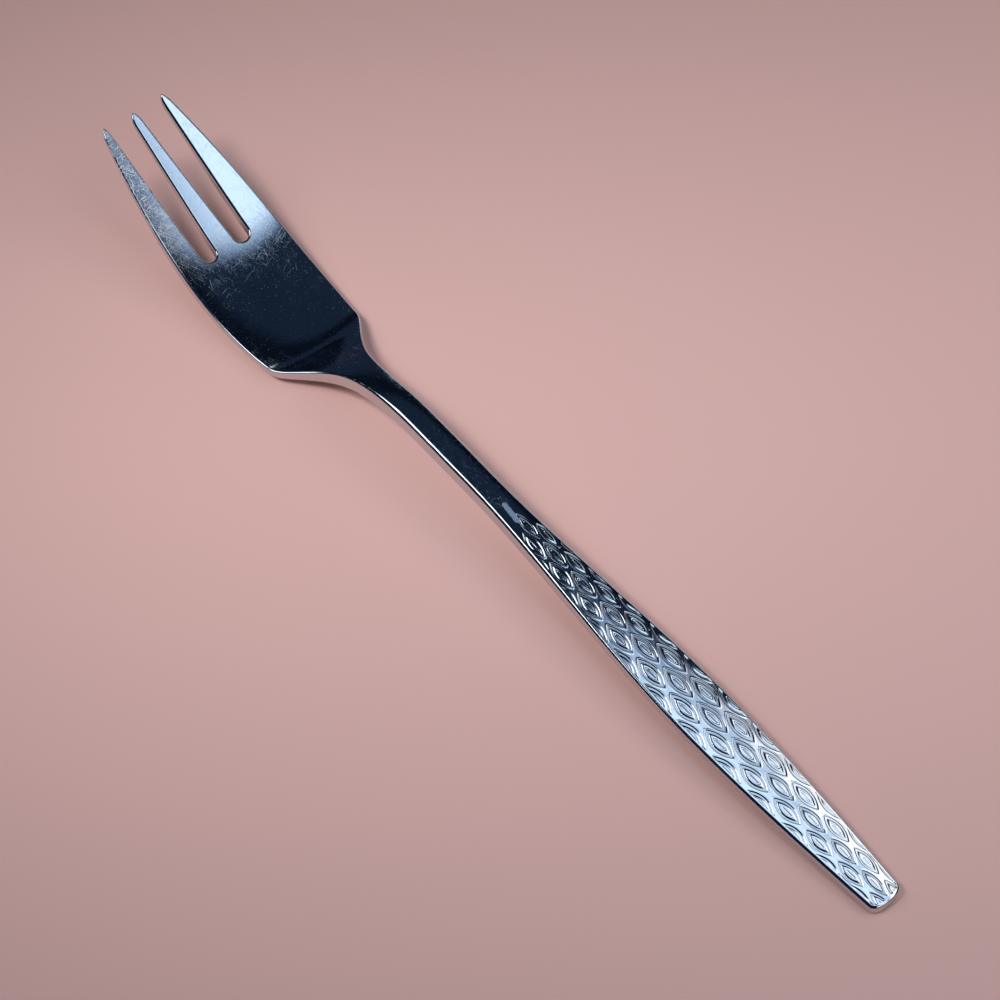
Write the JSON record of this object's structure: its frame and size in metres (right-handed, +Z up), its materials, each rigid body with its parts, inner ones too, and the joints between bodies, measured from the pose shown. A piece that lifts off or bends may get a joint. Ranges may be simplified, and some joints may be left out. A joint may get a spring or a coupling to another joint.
{
  "type": "salad fork",
  "caption": "Stainless steel salad fork with slim tapered tines, a dished head, an arched neck and a crowned handle pressed with a lattice of pointed ovals.",
  "frame": {"origin": "on the table, under the middle of the fork's length and width", "axes": "+X from the butt end of the handle to the points of the tines, +Z up, with the dish of the head facing up"},
  "size_m": [0.161, 0.0182, 0.0163],
  "materials": {
    "polished_steel": "polished stainless steel with fine lengthwise polish lines and light scratches from use",
    "pressed_steel": "polished stainless steel with a pressed lattice of pointed ovals, darkened in its grooves"
  },
  "bodies": {
    "root": {"handle": "pressed_steel", "neck": "polished_steel", "head": "polished_steel", "tine_left": "polished_steel", "tine_middle": "polished_steel", "tine_right": "polished_steel"}
  },
  "joints": []
}
